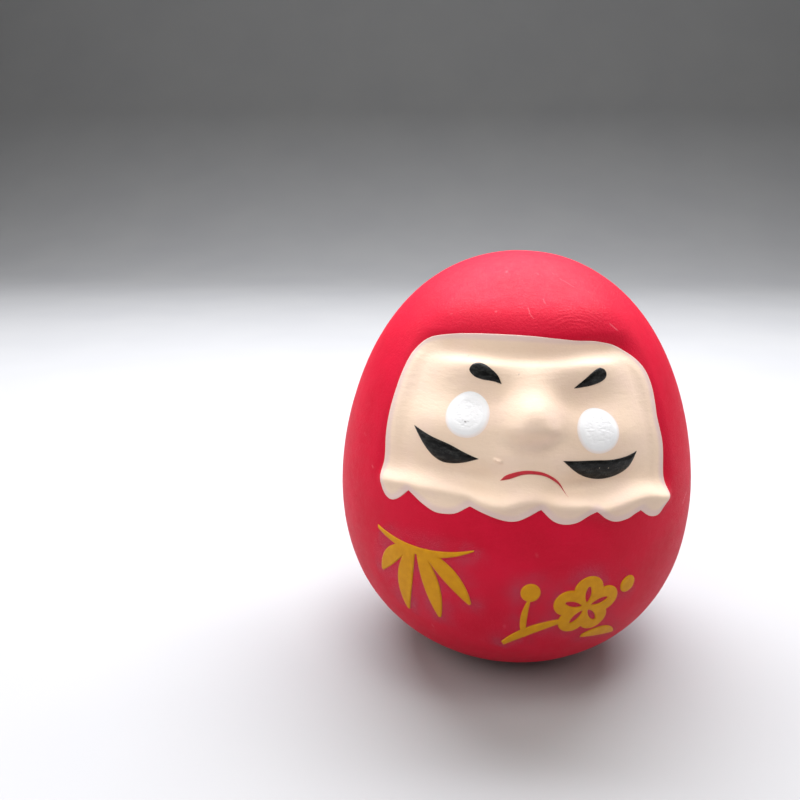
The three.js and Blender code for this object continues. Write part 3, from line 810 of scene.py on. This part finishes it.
def clay_material():
    m = Nodes("dry_clay")
    colour = m.ramp(m.noise(0.5, 6, 0.65), (0.25, (0.21, 0.145, 0.10)), (0.75, (0.37, 0.27, 0.19)))
    grit, _ = m.voronoi(1.6)
    colour = m.mix(m.range(grit, 0.16, 0.08, 0, 0.5), colour, (0.12, 0.08, 0.055))
    paint = m.noise(0.55, 5, 0.65)
    near = m.math("ADD", m.attribute("rim"), m.range(paint, 0.3, 0.7, -0.32, 0.32))
    colour = m.mix(m.range(near, 0.47, 0.53), colour, (0.46, 0.008, 0.028))
    m.link(colour, "Base Color")
    m.link(m.range(m.noise(1.2, 4, 0.6), 0.3, 0.7, 0.8, 0.95), "Roughness")
    low = m.bump(m.noise(0.9, 6, 0.7), 0.6, 0.15)
    m.link(m.bump(grit, 0.35, 0.04, low), "Normal")
    return m.material


def paper_material():
    m = Nodes("layered_paper")
    colour = m.ramp(m.noise(0.6, 5, 0.65), (0.3, (0.42, 0.34, 0.23)), (0.7, (0.55, 0.46, 0.33)))
    m.link(colour, "Base Color")
    m.link(m.range(m.noise(1.5, 3, 0.5), 0.3, 0.7, 0.85, 0.95), "Roughness")
    m.link(m.bump(m.noise(2.2, 5, 0.7, (1, 1, 2.5)), 0.5, 0.08), "Normal")
    return m.material


RED = red_material()
CREAM = cream_material()
WHITE = white_material()
BLACK = black_material()
LIP = lip_material()
GOLD = gold_material()
FILM = film_material()
CLAY = clay_material()
PAPER = paper_material()


def give(ob, name, values):
    """A number for each vertex, for the material to read."""
    data = ob.data.attributes.new(name, "FLOAT", "POINT")
    data.data.foreach_set("value", np.asarray(values, np.float32))


def points_of(ob):
    co = np.zeros(len(ob.data.vertices) * 3)
    ob.data.vertices.foreach_get("co", co)
    return co.reshape(-1, 3) / MM


def spots(points, places, lift=0.0):
    """Marks at (azimuth, height, azimuth end, height end, half width, strength)."""
    out = np.zeros(len(points))
    for a0, z0, a1, z1, w, k in places:
        p = place(a0, z0, lift)
        q = place(a1, z1, lift)
        d = q - p
        t = np.clip(((points - p) @ d) / max(d @ d, 1e-9), 0, 1)
        r = np.linalg.norm(points - p - t[:, None] * d, axis=1)
        out = np.maximum(out, k * np.clip(1.4 - r / w, 0, 1))
    return out


# ------------------------------------------------------------------ pieces
def heights(*spans):
    out = []
    for a, b, n in spans:
        out.extend(np.linspace(a, b, n, endpoint=False))
    return out


crown = [float(egg(t)[1]) for t in np.linspace(0, float(t_at(57.0)), 26)[1:-1]]
lines = crown + heights((57.0, 49.0, 92), (49.0, 27.0, 88), (27.0, STRIP_TOP + 0.02, 42))
fine_rows = [(z, 0.0, True) for z in lines] + [
    (STRIP_TOP + 0.02, 0.0, True),
    (STRIP_TOP + 0.02, -0.36, True),
    (5.4, -0.36, True),
    (SHELL_FOOT, -0.36, True),
    (SHELL_FOOT, -0.9, True),
]
in_t = np.linspace(0, float(t_at(SHELL_FOOT)), 61)[1:]
in_rows = [(float(egg(t)[1]), -WALL, True) for t in in_t]
u = np.linspace(-1, 1, 277)
front_cols = 90 * (0.65 * u + 0.35 * u**3)
back_cols = np.linspace(90, 270, 125)
SCRATCHES = [
    (24, 57.4, 30, 56.3, 0.07, 0.22), (22, 57.9, 38, 55.4, 0.06, 0.2), (-0.5, 54.0, 0.3, 53.3, 0.07, 0.4), (0.6, 53.2, 1.6, 52.9, 0.06, 0.3), (7.5, 55.0, 8, 54.5, 0.07, 0.3),
    (37.5, 51.9, 40.5, 51.2, 0.08, 0.5), (9, 57.9, 12, 57.7, 0.08, 0.2), (58, 27.7, 62, 28.7, 0.12, 0.55),
    (68, 28.6, 69, 29.4, 0.13, 0.7), (-21, 58.2, -14, 58.0, 0.07, 0.3),
]
_r = np.random.RandomState(5)
DUST = [
    (a, z, a + 0.2, z + 0.05, w, k)
    for a, z, w, k in zip(
        _r.uniform(-88, 88, 46), _r.uniform(9, 57, 46), _r.uniform(0.06, 0.12, 46), _r.uniform(0.15, 0.5, 46)
    )
]


verts, faces = half_shell(front_cols, fine_rows, np.linspace(-90, 90, 73), in_rows)
front = add_mesh("shell_front_skin", verts, faces, RED, ["shell_front"])
verts, faces = half_shell(back_cols, fine_rows, np.linspace(90, 270, 41), in_rows)
back = add_mesh("shell_back_skin", verts, faces, RED, ["shell_back"])
for ob in (front, back):
    give(ob, "worn", 0.62 * spots(points_of(ob), SCRATCHES + DUST))

# Paper strip over the joint of shell and weight, painted over.
strip_z = np.linspace(STRIP_FOOT, STRIP_TOP + 0.02, 12)
strip_out = [place(0, z, 0.0)[[1, 2]] * (-1, 1) for z in strip_z]
strip_in = [place(0, z, -0.35)[[1, 2]] * (-1, 1) for z in strip_z]
profile = [tuple(p) for p in strip_out] + [tuple(p) for p in strip_in[::-1]]
verts, faces = turned(profile, 240)
strip = add_mesh("base_strip_skin", verts, faces, RED, ["base_strip"])
give(strip, "worn", np.zeros(len(verts)))

# Clay weight.
ledge = SHELL_FOOT - 0.1
flank = [place(0, z, 0.0 if z < STRIP_FOOT - 0.03 else -0.37, False)[[1, 2]] * (-1, 1) for z in (0.6, 1.0, 1.4, 1.7, 1.96, 2.0, 2.6, 3.2, ledge - 0.3)]
bottom = [(0, 0.12), (2.5, 0.1), (4.5, 0.04), (5.8, 0.0), (6.6, 0.0), (FOOT_RADIUS - 0.2, 0.0), (FOOT_RADIUS + 0.35, 0.07), (FOOT_RADIUS + 0.9, 0.27)]
top = [(float(flank[-1][0]) - 0.1, ledge), (17.0 - 1.9, ledge), (16.6, 6.0), (16.7, 8.0), (15.5, 8.5), (10, 8.7), (4, 8.85), (0, 8.9)]
verts, faces = turned(bottom + [tuple(p) for p in flank] + top, 240, lambda a, r, z: 0.05 * noise(np.sin(a) * r / 3, np.cos(a) * r / 3, z / 2 + 5) * (0.02 < z < 1.9))
weight = add_mesh("base_weight_clay", verts, faces, CLAY, ["base_weight"], 50)
p = points_of(weight)
give(weight, "rim", smoothstep(FOOT_RADIUS - 1.2, FOOT_RADIUS + 1.2, np.hypot(p[:, 0], p[:, 1])) * (p[:, 2] < 3))

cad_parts["joint_collar"].data.materials.clear()
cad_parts["joint_collar"].data.materials.append(PAPER)

# Face coat, with the little crumb of paint by the mouth.
COAT = 0.27


def crumb(az, z):
    a = (az + 9.1) * FLAT
    s = z - 37.0 + a * 0.25
    return 0.36 * np.exp(-((np.abs(a) / 0.5) ** 4) - (np.abs(s) / 0.18) ** 2.4)


def coat_thickness(d, az, z):
    edge = np.sqrt(np.clip(1 - (1 - np.minimum(d / 0.16, 1)) ** 2, 0, 1))
    return 0.01 + 0.06 * edge + (COAT - 0.07) * smoothstep(0.1, 1.9, d) + crumb(az, z)


face_line = smooth_outline(FACE, 0.13)
coat_piece = coat("face_coat_paint", face_line, lambda az, z: 0.0, coat_thickness, 0.165, (0.05, 0.12, 0.24), CREAM, ["face_coat"], under=0.9)
p = points_of(coat_piece)


def seen_flat(p):
    """Azimuth and height names of points on the skin, near enough for tints."""
    az = np.degrees(np.arctan2(p[:, 0], -p[:, 1]))
    return az, p[:, 2]


az, z = seen_flat(p)
flat = np.stack([az * FLAT, arc(z)], 1)
# band near the outline, which the cream material darkens as thin paint and painted shade
give(coat_piece, "edge", 1 - smoothstep(0.45, 1.15, edge_distance(flat, face_line)))
give(coat_piece, "worn", spots(p, [(-23.6, 48.9, -23.5, 48.9, 0.09, 0.5), (-3.8, 47.0, -3.7, 47.05, 0.07, 0.5), (-4, 50.3, -3.8, 50.3, 0.07, 0.35)], COAT))


def ellipse_line(az0, z0, ra, rz, count=150):
    b = np.arange(count) / count * 2 * math.pi
    wob = 1 + 0.008 * np.sin(2 * b + az0) + 0.004 * np.sin(5 * b)
    return np.stack([(az0 + ra * wob * np.cos(b)) * FLAT, arc(z0 + rz * wob * np.sin(b))], 1)


def eye_thickness(seed):
    def thick(d, az, z):
        body = 0.012 + 0.085 * smoothstep(0.0, 1.0, d)
        lip = 0.012 * np.exp(-(((d - 0.9) / 0.35) ** 2))
        x, y = az * FLAT, arc(z)
        mid = smoothstep(0.7, 1.5, d)
        pit = np.clip(noise(x / 0.55, y / 0.2, seed) - 0.1, 0, 1) * 0.065 + 0.02 * noise(x / 0.9, y / 0.5, seed + 3)
        return body + lip - mid * pit - 0.02 * mid

    return thick


for side, (a, zz, ra, rz) in EYES.items():
    line = ellipse_line(a, zz, ra, rz)
    ob = coat(f"eye_{side}_paint", line, lambda az, z: COAT, eye_thickness(3.3 if side == "left" else 8.1), 0.075, (0.03, 0.08), WHITE, [f"eye_{side}"], sink=0.05, under=0.4)
    p = points_of(ob)
    az, z = seen_flat(p)
    give(ob, "edge", np.clip(1 - edge_distance(np.stack([az * FLAT, arc(z)], 1), line) / 0.5, 0, 1) ** 1.3)
    give(ob, "worn", spots(p, [(-20.0, 41.25, -19.7, 41.22, 0.09, 0.8), (-19.4, 41.3, -18.8, 41.32, 0.05, 0.45), (-20.9, 41.35, -20.6, 41.4, 0.045, 0.4), (-20.0, 43.5, -19.8, 43.5, 0.05, 0.15)], COAT + 0.09) if side == "left" else np.zeros(len(p)))


def stroke_thickness(seed, t=0.24, w=0.8):
    def thick(d, az, z):
        body = 0.015 + (t - 0.015) * np.sqrt(np.clip(1 - (1 - np.minimum(d / w, 1)) ** 2, 0, 1))
        x, y = az * FLAT, arc(z)
        return body + 0.035 * noise(x / 0.8, y / 0.35, seed) * np.minimum(d / w, 1)

    return thick


for name, points, seed in (
    ("brow_left", BROW_LEFT, 1.5),
    ("brow_right", BROW_RIGHT, 2.5),
    ("moustache_left", MOUSTACHE_LEFT, 3.5),
    ("moustache_right", MOUSTACHE_RIGHT, 4.5),
):
    coat(f"{name}_paint", smooth_outline(points, 0.06), lambda az, z: COAT, stroke_thickness(seed), 0.08, (0.025, 0.07), BLACK, [name], sink=0.05, under=0.4)
coat("mouth_paint", smooth_outline(MOUTH, 0.05), lambda az, z: COAT, stroke_thickness(5.5, 0.12, 0.2), 0.06, (0.02,), LIP, ["mouth"], sink=0.05, under=0.3)

film_line = smooth_outline(FILM_EDGE, 0.25)
film = coat("transfer_film_sheet", film_line, lambda az, z: 0.0, rounded(0.07, 0.25), 0.4, (0.06,), FILM, ["transfer_film"], sink=0.02, under=0.8)
p = points_of(film)
az, z = seen_flat(p)
flat = np.stack([az * FLAT, arc(z)], 1)
near = np.full(len(flat), 1e9)
for at, shapes in ((BAMBOO_AT, BAMBOO), (PLUM_AT, [*PLUM, BUD, LEAF_RIGHT])):
    for shape in shapes:
        line = spread(at, shape)
        near = np.minimum(near, np.where(inside(flat, line), 0, edge_distance(flat, line)))
low_left = 0.75 + 0.25 * np.exp(-0.5 * (((az + 26) / 20) ** 2 + ((z - 13) / 5) ** 2))
give(film, "near", low_left * np.exp(-((near / 1.6) ** 2)) * np.clip(edge_distance(flat, film_line) / 0.8, 0, 1))

thin = rounded(0.10, 0.12)
motif("gold_bamboo_print", [spread(BAMBOO_AT, s) for s in BAMBOO], [], 0.06, thin, 0.14, GOLD, ["gold_bamboo"])
motif("gold_plum_print", [spread(PLUM_AT, s) for s in PLUM], [spread(PLUM_AT, stamen(k)) for k in range(5)], 0.06, thin, 0.14, GOLD, ["gold_plum"])
motif("gold_bud_print", [spread(PLUM_AT, BUD)], [], 0.06, thin, 0.14, GOLD, ["gold_bud"])
motif("gold_leaf_print", [spread(PLUM_AT, LEAF_RIGHT)], [], 0.06, thin, 0.14, GOLD, ["gold_leaf"])

# ------------------------------------------------------------------- stage
floor_mat = Nodes("pale_floor")
floor_mat.link(floor_mat.ramp(floor_mat.noise(0.02, 2, 0.5), (0.3, (0.40, 0.40, 0.40)), (0.7, (0.42, 0.42, 0.415))), "Base Color")
floor_mat.set(Roughness=0.85)
me = bpy.data.meshes.new("floor")
side, back_y, rise, seg = 1.6, 0.75, 1.4, 24
prof = [(-1.2, 0.0)] + [(back_y - 0.35, 0.0)]
prof += [(back_y - 0.35 + 0.35 * math.sin(a), 0.35 - 0.35 * math.cos(a)) for a in np.linspace(0, math.pi / 2, seg)[1:]]
prof += [(back_y, rise)]
fv = [(x, y, z) for y, z in prof for x in (-side, side)]
ff = [(2 * i, 2 * i + 1, 2 * i + 3, 2 * i + 2) for i in range(len(prof) - 1)]
me.from_pydata(fv, [], ff)
me.shade_smooth()
me.materials.append(floor_mat.material)
floor = bpy.data.objects.new("floor", me)
bpy.context.scene.collection.objects.link(floor)


def area(name, at, to, size, watts, colour=(1, 1, 1), size_y=None):
    data = bpy.data.lights.new(name, "AREA")
    data.energy = watts
    data.color = colour
    data.shape = "RECTANGLE"
    data.size = size
    data.size_y = size_y or size
    ob = bpy.data.objects.new(name, data)
    ob.location = at
    ob.rotation_euler = (Vector(to) - Vector(at)).to_track_quat("-Z", "Y").to_euler()
    bpy.context.scene.collection.objects.link(ob)
    return ob


area("key_high", (0.05, -0.12, 0.42), (0, 0, 0.03), 0.12, 0.36)
area("key_front", (-0.06, -0.28, 0.40), (0, 0, 0.03), 0.30, 0.56)
area("top", (0.0, 0.16, 0.37), (0, 0, 0.04), 0.60, 4.7, (0.93, 0.94, 1.0), size_y=0.22)
area("left", (-0.45, -0.14, 0.30), (0, 0, 0.03), 0.40, 1.05)
area("right", (0.42, -0.04, 0.32), (0, 0, 0.03), 0.40, 0.55)

world = bpy.data.worlds.new("studio")
world.use_nodes = True
world.node_tree.nodes["Background"].inputs[0].default_value = (0.96, 0.97, 1.0, 1)
world.node_tree.nodes["Background"].inputs[1].default_value = 0.11
bpy.context.scene.world = world

cam_data = bpy.data.cameras.new("camera")
cam_data.sensor_width = 36
cam_data.lens = 36
cam_data.clip_start = 0.005
cam_data.clip_end = 20
cam = bpy.data.objects.new("camera", cam_data)
cam.location = (-0.0100835, -0.1157815, 0.07089)
cam.rotation_euler = (math.radians(74), 0, math.radians(3.5))
bpy.context.scene.collection.objects.link(cam)
bpy.context.scene.camera = cam
bpy.context.scene.view_settings.view_transform = "Standard"

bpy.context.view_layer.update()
